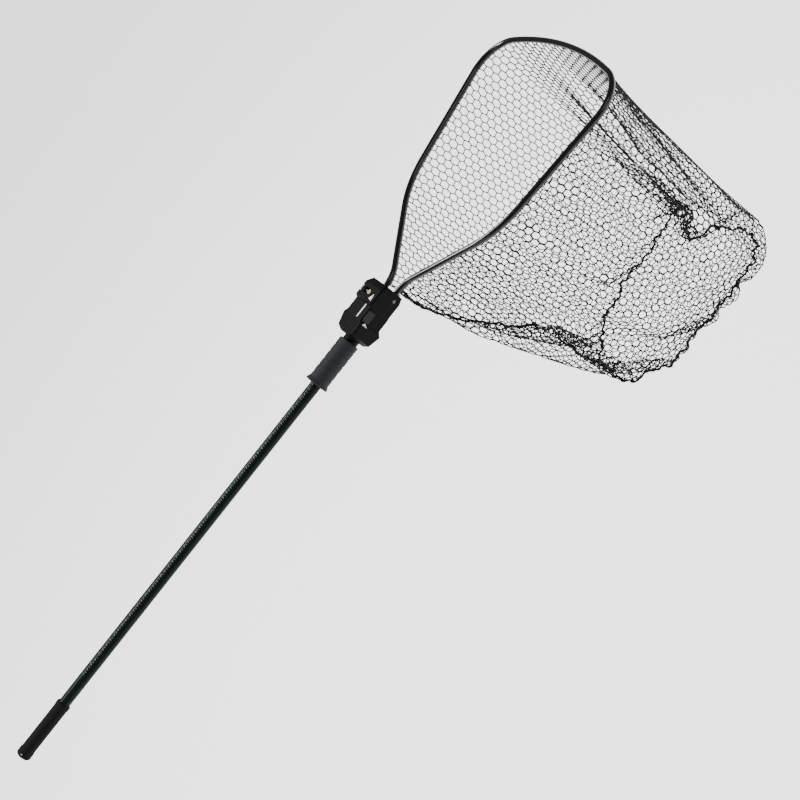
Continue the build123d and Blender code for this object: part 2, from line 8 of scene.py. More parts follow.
# %% load the frame
import bpy
import numpy as np
from math import cos, pi, radians, sin, sqrt, tan
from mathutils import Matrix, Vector


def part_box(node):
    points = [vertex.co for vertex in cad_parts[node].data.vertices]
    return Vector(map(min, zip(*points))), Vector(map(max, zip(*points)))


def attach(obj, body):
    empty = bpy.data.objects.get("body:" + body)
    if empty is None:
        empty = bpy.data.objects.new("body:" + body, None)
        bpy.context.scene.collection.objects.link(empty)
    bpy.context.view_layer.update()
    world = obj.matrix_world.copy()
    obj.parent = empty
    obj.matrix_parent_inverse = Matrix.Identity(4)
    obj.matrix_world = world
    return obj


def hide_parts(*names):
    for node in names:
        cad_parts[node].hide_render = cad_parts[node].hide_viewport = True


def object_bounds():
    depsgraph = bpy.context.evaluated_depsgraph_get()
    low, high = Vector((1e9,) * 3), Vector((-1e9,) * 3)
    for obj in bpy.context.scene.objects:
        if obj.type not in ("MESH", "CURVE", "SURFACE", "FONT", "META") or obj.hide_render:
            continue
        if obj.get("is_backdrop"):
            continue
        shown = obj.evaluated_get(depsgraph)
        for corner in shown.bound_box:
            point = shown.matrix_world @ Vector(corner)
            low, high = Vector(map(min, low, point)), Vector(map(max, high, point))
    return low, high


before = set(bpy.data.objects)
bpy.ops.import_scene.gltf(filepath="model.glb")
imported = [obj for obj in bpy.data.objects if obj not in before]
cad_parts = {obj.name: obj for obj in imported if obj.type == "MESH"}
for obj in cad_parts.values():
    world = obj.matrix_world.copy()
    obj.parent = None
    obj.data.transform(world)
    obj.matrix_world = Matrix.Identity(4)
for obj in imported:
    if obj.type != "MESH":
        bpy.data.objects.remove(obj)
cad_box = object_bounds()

MM = 0.001


def mesh_object(name, points, edges, faces):
    """A new object on a new mesh, linked to the scene."""
    mesh = bpy.data.meshes.new(name)
    mesh.from_pydata(points, edges, faces)
    made = bpy.data.objects.new(name, mesh)
    bpy.context.collection.objects.link(made)
    return made


def add_node(tree, kind, inputs=None, **settings):
    """A new node of a tree. Each input, by name or place, is a plain value or a socket to link."""
    node = tree.nodes.new(kind)
    for label, value in settings.items():
        setattr(node, label, value)
    for key, value in (inputs or {}).items():
        if isinstance(value, bpy.types.NodeSocket):
            tree.links.new(value, node.inputs[key])
        else:
            node.inputs[key].default_value = value
    return node


def math_node(tree, operation, *values):
    """The result of a Math node, from sockets or numbers."""
    return add_node(tree, "ShaderNodeMath", dict(enumerate(values)), operation=operation).outputs[0]


print("CAD box", [round(v, 4) for v in (*cad_box[0], *cad_box[1])])


# %% [markdown]
# The places that everything else hangs from are read from the CAD boxes: the yoke's rear and
# front faces, the handle's radius, and the depth of the bag. Only the hoop's outline needs its
# own few numbers, the same driving sizes that its bent tube has in CAD.

# %% places from the frame
x_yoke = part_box("yoke_upper")[0].x
x_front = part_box("yoke_upper")[1].x
tube_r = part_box("handle_tube")[1].z
bag_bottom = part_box("net_base")[0].z
throat_low, throat_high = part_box("throat_cord")
cord_r = (throat_high.x - throat_low.x) / 2
throat_at = (throat_high.x + throat_low.x) / 2
throat_z = throat_low.z + cord_r
seam_low, seam_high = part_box("side_lacing")
lacing_r = (seam_high.y - seam_low.y) / 2
knot_low, knot_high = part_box("rim_knot")
knot_centre = (knot_low + knot_high) / 2

hoop_r = 6.35 * MM
hoop_rise = radians(3.3)
leg_y = 24.95 * MM
hoop_half = [(-0.0796, leg_y), (0.0272, leg_y), (0.208, 0.1945), (0.559, 0.254)]
hoop_tip = (0.624, 0.0)
hoop_radii = [0.063, 0.208, 0.083]
hoop_tip_radius = 0.714
print("yoke from", round(x_yoke, 4), "to", round(x_front, 4), "bag bottom", round(bag_bottom, 4))


# %% [markdown]
# The camera comes before the modelling, so that each piece can be judged from the right side.
# Its three angles are turns about X, Y and Z, in that order, and the camera is rolled so that the
# handle runs up from the lower left. A 67.5 mm lens on a 36 mm sensor, from a little over three
# metres, keeps the hoop's perspective gentle.

# %% camera
camera_place = (0.5530, -2.5911, 1.5850)
camera_turn = (41.7796, 40.8691, -34.8679)

camera = bpy.data.objects.new("camera", bpy.data.cameras.new("camera"))
camera.data.lens = 67.5
camera.data.sensor_width = 36.0
camera.data.clip_end = 60.0
camera.location = camera_place
camera.rotation_euler = [radians(angle) for angle in camera_turn]
bpy.context.scene.collection.objects.link(camera)
bpy.context.scene.camera = camera
print("camera at", camera_place)


# %% [markdown]
# The studio is a wide pale floor well below the bag, a dim even sky and three large area
# lights. The key light stands behind the hoop, because gloss black tube is drawn almost only
# by its reflections: a long light gives the long white line that runs round a bent tube.

# %% floor and light
reach = 30.0
floor_z = bag_bottom - 1.1
corners = [(x * reach, y * reach, floor_z) for x, y in ((-1, -1), (1, -1), (1, 1), (-1, 1))]
floor = mesh_object("floor", corners, [], [(0, 1, 2, 3)])
pale = bpy.data.materials.new("pale_floor")
pale.use_nodes = True
pale_shader = pale.node_tree.nodes["Principled BSDF"]
pale_shader.inputs["Base Color"].default_value = (0.92, 0.92, 0.92, 1)
pale_shader.inputs["Roughness"].default_value = 0.9
pale_shader.inputs["Emission Color"].default_value = (1.0, 1.0, 1.0, 1)
pale_shader.inputs["Emission Strength"].default_value = 1.7
floor.data.materials.append(pale)
floor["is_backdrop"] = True

world = bpy.data.worlds.new("studio")
world.use_nodes = True
world.node_tree.nodes["Background"].inputs["Color"].default_value = (1.0, 1.0, 1.0, 1)
world.node_tree.nodes["Background"].inputs["Strength"].default_value = 0.28
bpy.context.scene.world = world


def area_light(name, place, target, size, power):
    """A soft rectangular light that faces its target."""
    lamp = bpy.data.lights.new(name, "AREA")
    lamp.shape = "RECTANGLE"
    lamp.size, lamp.size_y = size
    lamp.energy = power
    stand = bpy.data.objects.new(name, lamp)
    stand.location = place
    stand.rotation_euler = (Vector(target) - Vector(place)).to_track_quat("-Z", "Y").to_euler()
    bpy.context.scene.collection.objects.link(stand)


area_light("key", (-0.6, 1.6, 3.4), (0.5, 0.0, -0.1), (3.0, 0.7), 320.0)
area_light("fill", (2.8, -2.6, 2.2), (0.6, 0.0, -0.2), (2.0, 2.0), 45.0)
area_light("side", (-2.6, -1.6, 1.2), (0.0, 0.0, 0.0), (1.6, 1.6), 22.0)
print("floor at", round(floor_z, 3))


# %% [markdown]
# Finishes share a few effects, so each effect is a shader node group with named inputs: a
# moulded grain, worn edges, painted shade in sheltered hollows and the twist of a cord. A group
# only puts out masks and heights. The shader itself stays in each material, where it can still
# be exported.

# %% shared effects
def node_group(name, inputs, outputs):
    """An empty shader group with float inputs, each a name and a default, and float outputs."""
    group = bpy.data.node_groups.new(name, "ShaderNodeTree")
    for label, value in inputs:
        socket = group.interface.new_socket(label, in_out="INPUT", socket_type="NodeSocketFloat")
        socket.default_value = value
    for label in outputs:
        group.interface.new_socket(label, in_out="OUTPUT", socket_type="NodeSocketFloat")
    return group, group.nodes.new("NodeGroupInput"), group.nodes.new("NodeGroupOutput")


def ramp(tree, value, low, high, to_low=0.0, to_high=1.0):
    """Maps a value from one range to another."""
    ends = {"From Min": low, "From Max": high, "To Min": to_low, "To Max": to_high}
    return add_node(tree, "ShaderNodeMapRange", {"Value": value, **ends}).outputs["Result"]


def make_grain():
    """Two sizes of noise on the object's own coordinates: a fine grain and slow patches."""
    group, given, result = node_group("grain", [("Scale", 800.0), ("Patch", 18.0)], ["Height", "Patches"])
    place = add_node(group, "ShaderNodeTexCoord").outputs["Object"]
    for size, detail, label in (("Scale", 3.0, "Height"), ("Patch", 4.0, "Patches")):
        look = {"Vector": place, "Scale": given.outputs[size], "Detail": detail}
        noise = add_node(group, "ShaderNodeTexNoise", look)
        group.links.new(noise.outputs["Fac"], result.inputs[label])
    return group


def make_worn_edges():
    """Finds sharp edges by comparing the true normal with a rounded one, and breaks them up."""
    group, given, result = node_group("worn_edges", [("Width", 0.0008), ("Scale", 220.0)], ["Mask"])
    soft = add_node(group, "ShaderNodeBevel", {"Radius": given.outputs["Width"]}, samples=4)
    true = add_node(group, "ShaderNodeNewGeometry")
    normals = {0: soft.outputs["Normal"], 1: true.outputs["Normal"]}
    likeness = add_node(group, "ShaderNodeVectorMath", normals, operation="DOT_PRODUCT")
    place = add_node(group, "ShaderNodeTexCoord").outputs["Object"]
    noise = add_node(group, "ShaderNodeTexNoise", {"Vector": place, "Scale": given.outputs["Scale"]})
    sharp = ramp(group, likeness.outputs["Value"], 0.995, 0.86)
    group.links.new(math_node(group, "MULTIPLY", sharp, noise.outputs["Fac"]), result.inputs["Mask"])
    return group


def make_twist():
    """Slanting ridges along a cord, from how far along and how far round it a point lies."""
    group, given, result = node_group("twist", [("Pitch", 0.004), ("Strands", 3.0)], ["Height"])
    along = add_node(group, "ShaderNodeAttribute", attribute_name="along").outputs["Fac"]
    around = add_node(group, "ShaderNodeAttribute", attribute_name="around").outputs["Fac"]
    turns = math_node(group, "DIVIDE", along, given.outputs["Pitch"])
    ways = math_node(group, "MULTIPLY_ADD", around, given.outputs["Strands"], turns)
    group.links.new(math_node(group, "PINGPONG", ways, 0.5), result.inputs["Height"])
    return group


def make_hollows():
    """Finds grooves and inside corners, places that see little of their surroundings, as a mask for painted
    shade.
    """
    group, given, result = node_group("hollows", [("Reach", 0.003)], ["Mask"])
    shelter = add_node(group, "ShaderNodeAmbientOcclusion", {"Distance": given.outputs["Reach"]}, samples=8)
    group.links.new(ramp(group, shelter.outputs["AO"], 0.9, 0.5), result.inputs["Mask"])
    return group


grain = make_grain()
worn_edges = make_worn_edges()
twist = make_twist()
hollows = make_hollows()
print("effects", grain.name, worn_edges.name, twist.name, hollows.name)


# %% [markdown]
# One function makes most finishes. It takes a base colour, a second colour for the slow patches,
# a roughness and how deep the grain is. Colours that vary over the surface go through Mix nodes.
# Values that are the same everywhere, such as coat and sheen, are set straight on the shader.

# %% finishes
def blended(tree, share, first, second, **settings):
    """A colour between two others."""
    ways = {"Factor": share, "A": first, "B": second}
    return add_node(tree, "ShaderNodeMix", ways, data_type="RGBA", **settings).outputs["Result"]


def finish_for(
    name, colour, patch_colour, rough, grain_size, grain_depth, patch=18.0, wear=None, painted_shade=None,
    shine=0.5, **fixed
):
    """A grained finish: patches of colour, uneven roughness, a bump, worn edges and painted shade in grooves.
    """
    made = bpy.data.materials.new(name)
    made.use_nodes = True
    tree = made.node_tree
    shader = tree.nodes["Principled BSDF"]
    texture = add_node(tree, "ShaderNodeGroup", {"Scale": grain_size, "Patch": patch}, node_tree=grain)
    patches = texture.outputs["Patches"]
    shown = blended(tree, patches, (*colour, 1), (*patch_colour, 1))
    # Worn edges get a lighter wear colour, and hollows get painted shade.
    for effect, tint in ((worn_edges, wear), (hollows, painted_shade)):
        if tint:
            found = add_node(tree, "ShaderNodeGroup", node_tree=effect)
            shown = blended(tree, found.outputs["Mask"], shown, (*tint, 1))
    uneven = ramp(tree, patches, 0.0, 1.0, rough * 0.82, min(1.0, rough * 1.18))
    height = {"Strength": 1.0, "Distance": grain_depth, "Height": texture.outputs["Height"]}
    bump = add_node(tree, "ShaderNodeBump", height)
    for label, socket in (("Base Color", shown), ("Roughness", uneven), ("Normal", bump.outputs["Normal"])):
        tree.links.new(socket, shader.inputs[label])
    for label, value in (("Specular IOR Level", shine), *fixed.items()):
        shader.inputs[label.replace("_", " ")].default_value = value
    return made


satin_tube = finish_for(
    "satin_tube", (0.002, 0.005, 0.004), (0.0035, 0.008, 0.006), 0.42, 900.0, 0.000015,
    patch=25.0, wear=(0.10, 0.11, 0.10), shine=0.07, Coat_Weight=0.02, Coat_Roughness=0.2,
)
gloss_hoop = finish_for(
    "gloss_hoop", (0.0025, 0.0025, 0.0025), (0.005, 0.005, 0.005), 0.22, 420.0, 0.00004,
    patch=40.0, shine=0.12, Coat_Weight=0.3, Coat_Roughness=0.05,
)
closed_foam = finish_for(
    "closed_foam", (0.003, 0.003, 0.0034), (0.006, 0.006, 0.007), 0.85, 1500.0, 0.00025,
    patch=60.0, wear=(0.025, 0.025, 0.025), shine=0.12,
)
# The grip's grooves are darkened near to black with painted shade.
grip_rubber = finish_for(
    "grip_rubber", (0.014, 0.0157, 0.0168), (0.022, 0.0245, 0.026), 0.72, 1100.0, 0.00018,
    patch=45.0, wear=(0.16, 0.16, 0.165), painted_shade=(0.001, 0.001, 0.001), shine=0.12,
)
button_plastic = finish_for(
    "button_plastic", (0.003, 0.0045, 0.007), (0.006, 0.008, 0.012), 0.42, 1200.0, 0.00005,
    patch=30.0, wear=(0.10, 0.11, 0.13), shine=0.18,
)
bush_plastic = finish_for(
    "bush_plastic", (0.70, 0.69, 0.64), (0.78, 0.77, 0.73), 0.45, 700.0, 0.00003, patch=50.0
)
zinc_steel = finish_for(
    "zinc_steel", (0.55, 0.56, 0.57), (0.70, 0.70, 0.71), 0.28, 2200.0, 0.00002,
    patch=150.0, wear=(0.85, 0.85, 0.85), Metallic=1.0,
)
dark_steel = finish_for(
    "dark_steel", (0.05, 0.05, 0.052), (0.09, 0.09, 0.09), 0.35, 2200.0, 0.00002,
    patch=150.0, wear=(0.6, 0.6, 0.6), Metallic=1.0,
)
nut_brass = finish_for(
    "nut_brass", (0.42, 0.31, 0.19), (0.55, 0.42, 0.28), 0.42, 1800.0, 0.00002,
    patch=120.0, wear=(0.75, 0.62, 0.45), Metallic=0.9,
)
rivet_aluminium = finish_for(
    "rivet_aluminium", (0.62, 0.62, 0.62), (0.74, 0.74, 0.74), 0.3, 2000.0, 0.00002,
    patch=120.0, Metallic=1.0,
)
ruler_ink = finish_for(
    "ruler_ink", (0.42, 0.42, 0.41), (0.25, 0.25, 0.24), 0.6, 1400.0, 0.00001, patch=160.0,
    shine=0.2,
)
mark_white = finish_for(
    "mark_white", (0.80, 0.80, 0.79), (0.62, 0.62, 0.60), 0.5, 1400.0, 0.00002, patch=160.0
)
print("finishes made:", len(bpy.data.materials))


# %% [markdown]
# The yoke is glass filled nylon with a spark eroded grain. Where its roof faces up it is tinted
# warmer than its walls, which is painted warm light, and a set of fine cross ribs stands on the
# rear of the roof. The ribs are a wave along the handle's direction, let through only where the
# surface faces up and lies behind the waist.

# %% yoke finish
rib_pitch = 4.2 * MM
ribs_end = 33 * MM


def make_yoke_finish():
    """The nylon finish, with painted warm light on the roof and fine cross ribs on the rear of the roof."""
    made = finish_for(
        "yoke_nylon", (0.0010, 0.0012, 0.0014), (0.0026, 0.0026, 0.0028), 0.50, 1300.0, 0.00012,
        patch=35.0, wear=(0.05, 0.05, 0.05), shine=0.07,
    )
    tree = made.node_tree
    shader = tree.nodes["Principled BSDF"]
    facing = add_node(tree, "ShaderNodeNewGeometry")
    split = add_node(tree, "ShaderNodeSeparateXYZ", {"Vector": facing.outputs["Normal"]})
    upward = ramp(tree, split.outputs["Z"], 0.5, 0.95)
    plain = shader.inputs["Base Color"].links[0].from_socket
    # The up-facing roof is tinted warm: painted warm light.
    painted_warm_light = blended(tree, upward, plain, (1.0, 0.90, 0.62, 1), blend_type="MULTIPLY")
    tree.links.new(painted_warm_light, shader.inputs["Base Color"])
    place = add_node(tree, "ShaderNodeTexCoord")
    where = add_node(tree, "ShaderNodeSeparateXYZ", {"Vector": place.outputs["Object"]}).outputs["X"]
    behind = ramp(tree, where, x_yoke + ribs_end + 3 * MM, x_yoke + ribs_end)
    steep = ramp(tree, math_node(tree, "PINGPONG", where, rib_pitch / 2), 0.2 * MM, 0.7 * MM)
    height = math_node(tree, "MULTIPLY", math_node(tree, "MULTIPLY", behind, upward), steep)
    ribs = add_node(tree, "ShaderNodeBump", {"Distance": 0.6 * MM, "Height": height})
    grain_bump = shader.inputs["Normal"].links[0].from_node
    tree.links.new(ribs.outputs["Normal"], grain_bump.inputs["Normal"])
    return made


yoke_nylon = make_yoke_finish()

cad_finishes = {
    satin_tube: ["handle_tube"],
    gloss_hoop: ["hoop_tube"],
    closed_foam: ["rear_grip", "butt_cap"],
    grip_rubber: ["front_grip"],
    yoke_nylon: ["yoke_upper", "yoke_lower", "grip_sleeve", "front_stop"],
    button_plastic: ["release_button"],
    bush_plastic: ["rear_bush", "front_bush"],
    dark_steel: ["leg_screws"],
    zinc_steel: ["shell_screws", "cross_bolt", "cross_pin", "lock_plunger", "plunger_spring"],
    nut_brass: ["bolt_nut", "brake_shoe"],
    rivet_aluminium: ["butt_rivet"],
}
for finish, names in cad_finishes.items():
    for name in names:
        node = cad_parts[name]
        node.data.materials.clear()
        node.data.materials.append(finish)
print("CAD nodes finished:", sum(len(names) for names in cad_finishes.values()))


# %% [markdown]
# Now the bag. Its hexagonal mesh is knitted in the round: zigzag strands run down the wall, and
# short bars join each strand to the next, turn and turn about. So the wall is a grid of knots,
# so many columns round and so many steps down. The cell's side fixes the number of columns,
# because the mesh must reach once round the hoop and across the throat between its legs.

# %% lines for the rim, the seam and the foot of the bag
cell_side = 10.85 * MM
column_pitch = 14.65 * MM
step_down = 10.1 * MM
rim_under = hoop_r + 1.5 * MM


def unit(vector):
    """The vector of length one in the same direction."""
    return vector / np.linalg.norm(vector)


def rounded(points, corner_radii, spacing):
    """Points along a polyline in the plane, with its inner corners rounded."""
    points = [np.array(p, float) for p in points]
    line = [points[0]]
    for before, corner, after, radius in zip(points, points[1:], points[2:], corner_radii):
        back, ahead = unit(before - corner), unit(after - corner)
        half = np.arccos(np.clip(back @ ahead, -1, 1)) / 2
        middle = corner + unit(back + ahead) * radius / sin(half)
        start = corner + back * radius / tan(half)
        end = corner + ahead * radius / tan(half)
        swing = pi - 2 * half
        for share in np.linspace(0, 1, max(3, int(radius * swing / spacing))):
            a, b = sin((1 - share) * swing), sin(share * swing)
            line.append(middle + (a * (start - middle) + b * (end - middle)) / sin(swing))
    line.append(points[-1])
    return np.array(line)


def on_hoop(flat, under):
    """Points of the hoop's own plane, some way under it, in the frame."""
    x, y = flat[:, 0], flat[:, 1]
    along = x_front + x * cos(hoop_rise) + under * sin(hoop_rise)
    return np.stack([along, y, x * sin(hoop_rise) - under * cos(hoop_rise)], axis=1)


def lengths_along(line):
    """How far along a line each of its points lies."""
    return np.concatenate([[0.0], np.cumsum(np.linalg.norm(np.diff(line, axis=0), axis=1))])


def at_shares(line, shares):
    """The points at the given shares of a line's length."""
    along = lengths_along(line)
    wanted = np.asarray(shares) * along[-1]
    return np.stack([np.interp(wanted, along, line[:, k]) for k in range(3)], axis=1)


def smooth(points, closed, count):
    """A smooth curve through a few points, as evenly spaced points along it."""
    p = np.array(points, float)
    if closed:
        p = np.concatenate([p[-1:], p, p[:2]])
    else:
        p = np.concatenate([2 * p[:1] - p[1:2], p, 2 * p[-1:] - p[-2:-1]])
    out = []
    t = np.linspace(0, 1, 24, endpoint=False)[:, None]
    for a, b, c, d in zip(p, p[1:], p[2:], p[3:]):
        bend, swing = 2 * a - 5 * b + 4 * c - d, 3 * b - a - 3 * c + d
        out.append(b + 0.5 * ((c - a) * t + bend * t**2 + swing * t**3))
    out = np.concatenate(out + [p[-2:-1]])
    return at_shares(out, np.linspace(0, 1, count))


near_half = [(x, -y) for x, y in hoop_half]
outline = near_half + [hoop_tip] + hoop_half[::-1]
hoop_flat = rounded(outline, hoop_radii + [hoop_tip_radius] + hoop_radii[::-1], 4 * MM)
mouth = hoop_flat[hoop_flat[:, 0] > 6 * MM]
rim_u = on_hoop(mouth, rim_under)
throat_half = tube_r + 3 * MM
throat_near = np.array([throat_at, -throat_half, throat_z])
throat_far = np.array([throat_at, throat_half, throat_z])
throat_mid = (throat_near + throat_far) / 2
rim_line = np.vstack([throat_mid, throat_near, rim_u, throat_far, throat_mid])
rim_length = lengths_along(rim_line)[-1]
columns = 2 * round(rim_length / column_pitch / 2)
print("rim", round(rim_length, 4), "m, columns of mesh:", columns)


# %% [markdown]
# The foot of the bag is a loop of heavier cord that laces the wall to the base panel. Its shape
# is given: a rounded nose towards the yoke, two long sides, and one place near the tip
# where the loop is folded inwards. Cord that carries mesh is never smooth, so a few sine waves
# of different lengths make it wander. The seam cord comes down from the throat to the nose.

# %% the loop and the seam
foot_z = bag_bottom + 9 * MM
foot_points = [
    (173, 0), (175, -65), (224, -116), (290, -147), (378, -151), (462, -151), (539, -147), (582, -113),
    (593, -54), (582, 5), (553, 41), (527, 65), (544, 98), (582, 127), (586, 163), (550, 177),
    (489, 161), (422, 156), (346, 154), (281, 134), (223, 90), (182, 41),
]
foot_count = 1200
foot = smooth([(x_front + x * MM, y * MM, foot_z) for x, y in foot_points], True, foot_count + 1)[:-1]
chance = np.random.default_rng(7)


def wander(shares, size, waves):
    """A sum of sine waves with chance phases, smaller as they get shorter."""
    total = np.zeros_like(shares)
    for number, count in enumerate(waves, 1):
        total += size / sqrt(number) * np.sin(2 * pi * (count * shares + chance.uniform()))
    return total


foot_share = np.arange(foot_count) / foot_count
ahead = np.roll(foot, -1, axis=0) - np.roll(foot, 1, axis=0)
sideways = np.stack([ahead[:, 1], -ahead[:, 0], np.zeros(foot_count)], axis=1)
sideways /= np.linalg.norm(sideways, axis=1)[:, None]
foot += sideways * wander(foot_share, 3.6 * MM, (11, 19, 33, 47, 61))[:, None]
foot[:, 2] += wander(foot_share, 3.0 * MM, (7, 13, 29, 53))
foot_closed = np.vstack([foot, foot[:1]])

seam_points = [(13, -24), (20, -104), (68, -222), (130, -332), (161, -390), (152, -437), (170, -549)]
seam = smooth([(x_front + x * MM, 0, z * MM) for x, z in seam_points] + [tuple(foot[0])], False, 400)
seam_share = np.linspace(0, 1, len(seam))
fade = np.sin(pi * seam_share) ** 0.5
for axis, size, waves in ((0, 2.4, (5, 9, 14, 23)), (1, 3.0, (4, 7, 12, 19)), (2, 2.0, (6, 11, 17))):
    seam[:, axis] += wander(seam_share, size * MM, waves) * fade
for label, line in (("foot loop", foot_closed), ("seam", seam)):
    print(label, round(lengths_along(line)[-1], 3), "m")


# %% [markdown]
# The wall starts as a surface between the rim and the foot, one column of mesh at a time. The
# loop is shorter than the rim, so the table says where each column lands on it. Twice it runs
# backwards: there the mesh doubles over itself in a pleat, and both pleats are near the tip.

# %% the wall's columns
column_table = (0, 46, 61, 64, 67, 75, 78, 81, columns)
landing_mm = (0, 526, 734, 694, 734, 855, 815, 855, 1326)
landing_table = [d / landing_mm[-1] for d in landing_mm]
pleat_columns = (64, 78)
pleated = slice(60, 83)
column_share = np.arange(columns) / columns
depth = np.linspace(0, 1, 61)


def foot_at(share):
    """The place on the foot loop at a share of its way round."""
    spot = np.asarray(share) * foot_count
    number = np.arange(foot_count + 1)
    return np.stack([np.interp(spot, number, foot_closed[:, k]) for k in range(3)], axis=-1)


def wall_surface():
    """A grid of points, one line for each column, with folds and pleats shaped in."""
    top = at_shares(rim_line, column_share)
    bottom = foot_at(np.interp(np.arange(columns), column_table, landing_table))
    grid = top[:, None] * (1 - depth)[None, :, None] + bottom[:, None] * depth[None, :, None]
    bow = at_shares(seam, depth) - grid[0]
    seam_distance = np.minimum(column_share, 1 - column_share) * rim_length
    grid += np.exp(-((seam_distance / 0.09) ** 2))[:, None, None] * bow[None]
    across = np.roll(bottom, -3, axis=0) - np.roll(bottom, 3, axis=0)
    before, after = across[pleated.start - 2], across[pleated.stop + 1]
    share = np.linspace(0, 1, pleated.stop - pleated.start)[:, None]
    across[pleated] = before + (after - before) * share
    outward = np.stack([-across[:, 1], across[:, 0], np.zeros(columns)], axis=1)
    outward /= -np.linalg.norm(outward, axis=1)[:, None]
    folds = np.zeros((columns, len(depth)))
    for count, slant, size in ((9, 0.06, 5.0), (14, -0.05, 4.0), (22, 0.03, 2.4), (31, 0.08, 1.4)):
        turn = count * (column_share[:, None] + slant * depth[None]) + chance.uniform()
        folds += size * MM * np.sin(2 * pi * turn) * np.sin(pi * depth)[None] ** 0.7
    for middle in pleat_columns:
        side = (np.arange(columns) - middle) / 3
        folds += (-7 * MM * side * np.exp(-(side**2)))[:, None] * np.sin(pi * depth)[None] ** 0.4
    return grid + outward[:, None] * folds[..., None]


wall_lines = wall_surface()
column_lengths = np.linalg.norm(np.diff(wall_lines, axis=1), axis=2).sum(axis=1)
print("columns are", round(column_lengths.min(), 3), "to", round(column_lengths.max(), 3), "m long")


# %% [markdown]
# A net is cut from flat mesh, and the cut never follows its rows exactly. So each column has
# its own first row, which slowly climbs along one side, and as many rows as its length needs.
# A strand that would cross the rim or the foot is cut short and ends on the cord instead.

# %% the knots and strands of the wall
first_row = np.interp(np.arange(columns), (0, 36, 77, columns), (0.4, 0.4, 6.4, 0.4))
row_count = column_lengths * 1.012 / step_down
last_row = first_row + row_count
row_total = int(last_row.max()) + 2


def gaps(knots, links):
    """How far apart the two knots of each link are."""
    return np.linalg.norm(knots[links[:, 0]] - knots[links[:, 1]], axis=1)


def wall_place(c, j):
    """The place of one row on one column's line, before the wall hangs."""
    c = c % columns
    spot = (j - first_row[c]) / row_count[c] * (len(depth) - 1)
    return np.array([np.interp(spot, np.arange(len(depth)), wall_lines[c, :, k]) for k in range(3)])


def wall_net():
    """Knots, which of them are held, chains and bars of knot numbers, and each strand's length."""
    margin, zigzag = 0.3, 0.14
    number, knots, held, chains, bars = {}, [], [], [], []

    def anchor(column, upper):
        """A new held knot on the rim or on the foot loop."""
        landing = np.interp(column, column_table, landing_table)
        knots.append(at_shares(rim_line, [column / columns])[0] if upper else foot_at(landing))
        held.append(True)
        return len(knots) - 1

    for c in range(columns):
        kept = [j for j in range(row_total) if first_row[c] + margin < j < last_row[c] - margin]
        for j in kept:
            side = zigzag if (c + j) % 2 == 0 else -zigzag
            here, after = wall_place(c, j), wall_place(c + 1, j)
            number[c, j] = len(knots)
            knots.append(here if c == 0 else here + (after - here) * side)
            held.append(c == 0)
        chains.append([anchor(c, True)] + [number[c, j] for j in kept] + [anchor(c, False)])
    for c in range(columns):
        for j in range(row_total):
            a, b = number.get((c, j)), number.get(((c + 1) % columns, j))
            if (c + j) % 2 == 0 and (a is not None or b is not None):
                ends = [n for n in (a, b) if n is not None]
                bars.append(ends if len(ends) == 2 else ends + [anchor(c + 0.5, j < row_total / 2)])
    knots, held = np.array(knots), np.array(held, float)
    strands = np.array([pair for chain in chains for pair in zip(chain, chain[1:])] + bars)
    lengths = gaps(knots, strands)
    loose = held[strands[:, 0]] + held[strands[:, 1]] == 0
    lengths[loose] = cell_side
    return knots, held, chains, bars, strands, np.minimum(lengths, cell_side)


wall_knots, wall_held, wall_chains, wall_bars, wall_strands, wall_lengths = wall_net()
print("wall knots", len(wall_knots), "strands", len(wall_strands))


# %% [markdown]
# The base panel is a flat sheet of the same mesh, cut to the loop. Knots outside the loop are
# left out, and where a strand crosses the loop it ends on the cord itself.

# %% the base before it hangs
def inside(points, ring):
    """Which points of the plane lie inside a closed ring."""
    result = np.zeros(len(points), bool)
    for (x0, y0), (x1, y1) in zip(ring, np.roll(ring, -1, axis=0)):
        crosses = (y0 > points[:, 1]) != (y1 > points[:, 1])
        if crosses.any():
            x = x0 + (points[:, 1] - y0) * (x1 - x0) / (y1 - y0 + 1e-12)
            result ^= crosses & (points[:, 0] < x)
    return result


def base_sheet():
    """Knots and strands of the base, and which knots are laced to the loop."""
    ring = foot[::6, :2]
    low, high = ring.min(axis=0) - 0.03, ring.max(axis=0) + 0.03
    pitch_y, pitch_x = 1.5 * cell_side, cell_side * sqrt(3) / 2
    across_count = int((high[1] - low[1]) / pitch_y) + 2
    along_count = int((high[0] - low[0]) / pitch_x) + 2
    c, j = np.meshgrid(np.arange(across_count), np.arange(along_count), indexing="ij")
    side = np.where((c + j) % 2 == 0, 0.25, -0.25) * cell_side
    flat = np.stack([low[0] + j * pitch_x, low[1] + c * pitch_y + side], axis=2).reshape(-1, 2)
    number = np.arange(across_count * along_count).reshape(across_count, along_count)
    chain = np.stack([number[:, :-1].ravel(), number[:, 1:].ravel()], axis=1)
    even = ((c + j) % 2 == 0)[:-1]
    bars = np.stack([number[:-1][even], number[1:][even]], axis=1)
    kept = inside(flat, ring)
    knots = [(*flat[k], foot_z) for k in np.nonzero(kept)[0]]
    new_number = -np.ones(len(flat), int)
    new_number[kept] = np.arange(kept.sum())
    strands, laced = [], []
    for a, b in np.vstack([chain, bars]):
        if kept[a] and kept[b]:
            strands.append((new_number[a], new_number[b]))
        elif kept[a] or kept[b]:
            inner, outer = (a, b) if kept[a] else (b, a)
            steps = np.linspace(flat[inner], flat[outer], 9)
            last = steps[inside(steps, ring)][-1]
            nearest = foot[np.argmin(((foot[:, :2] - last) ** 2).sum(axis=1))]
            strands.append((new_number[inner], len(knots)))
            laced.append(len(knots))
            knots.append(tuple(nearest))
    return np.array(knots), np.array(strands), np.array(laced)


base_knots, base_strands, base_laced = base_sheet()
print("base knots", len(base_knots), "strands", len(base_strands))


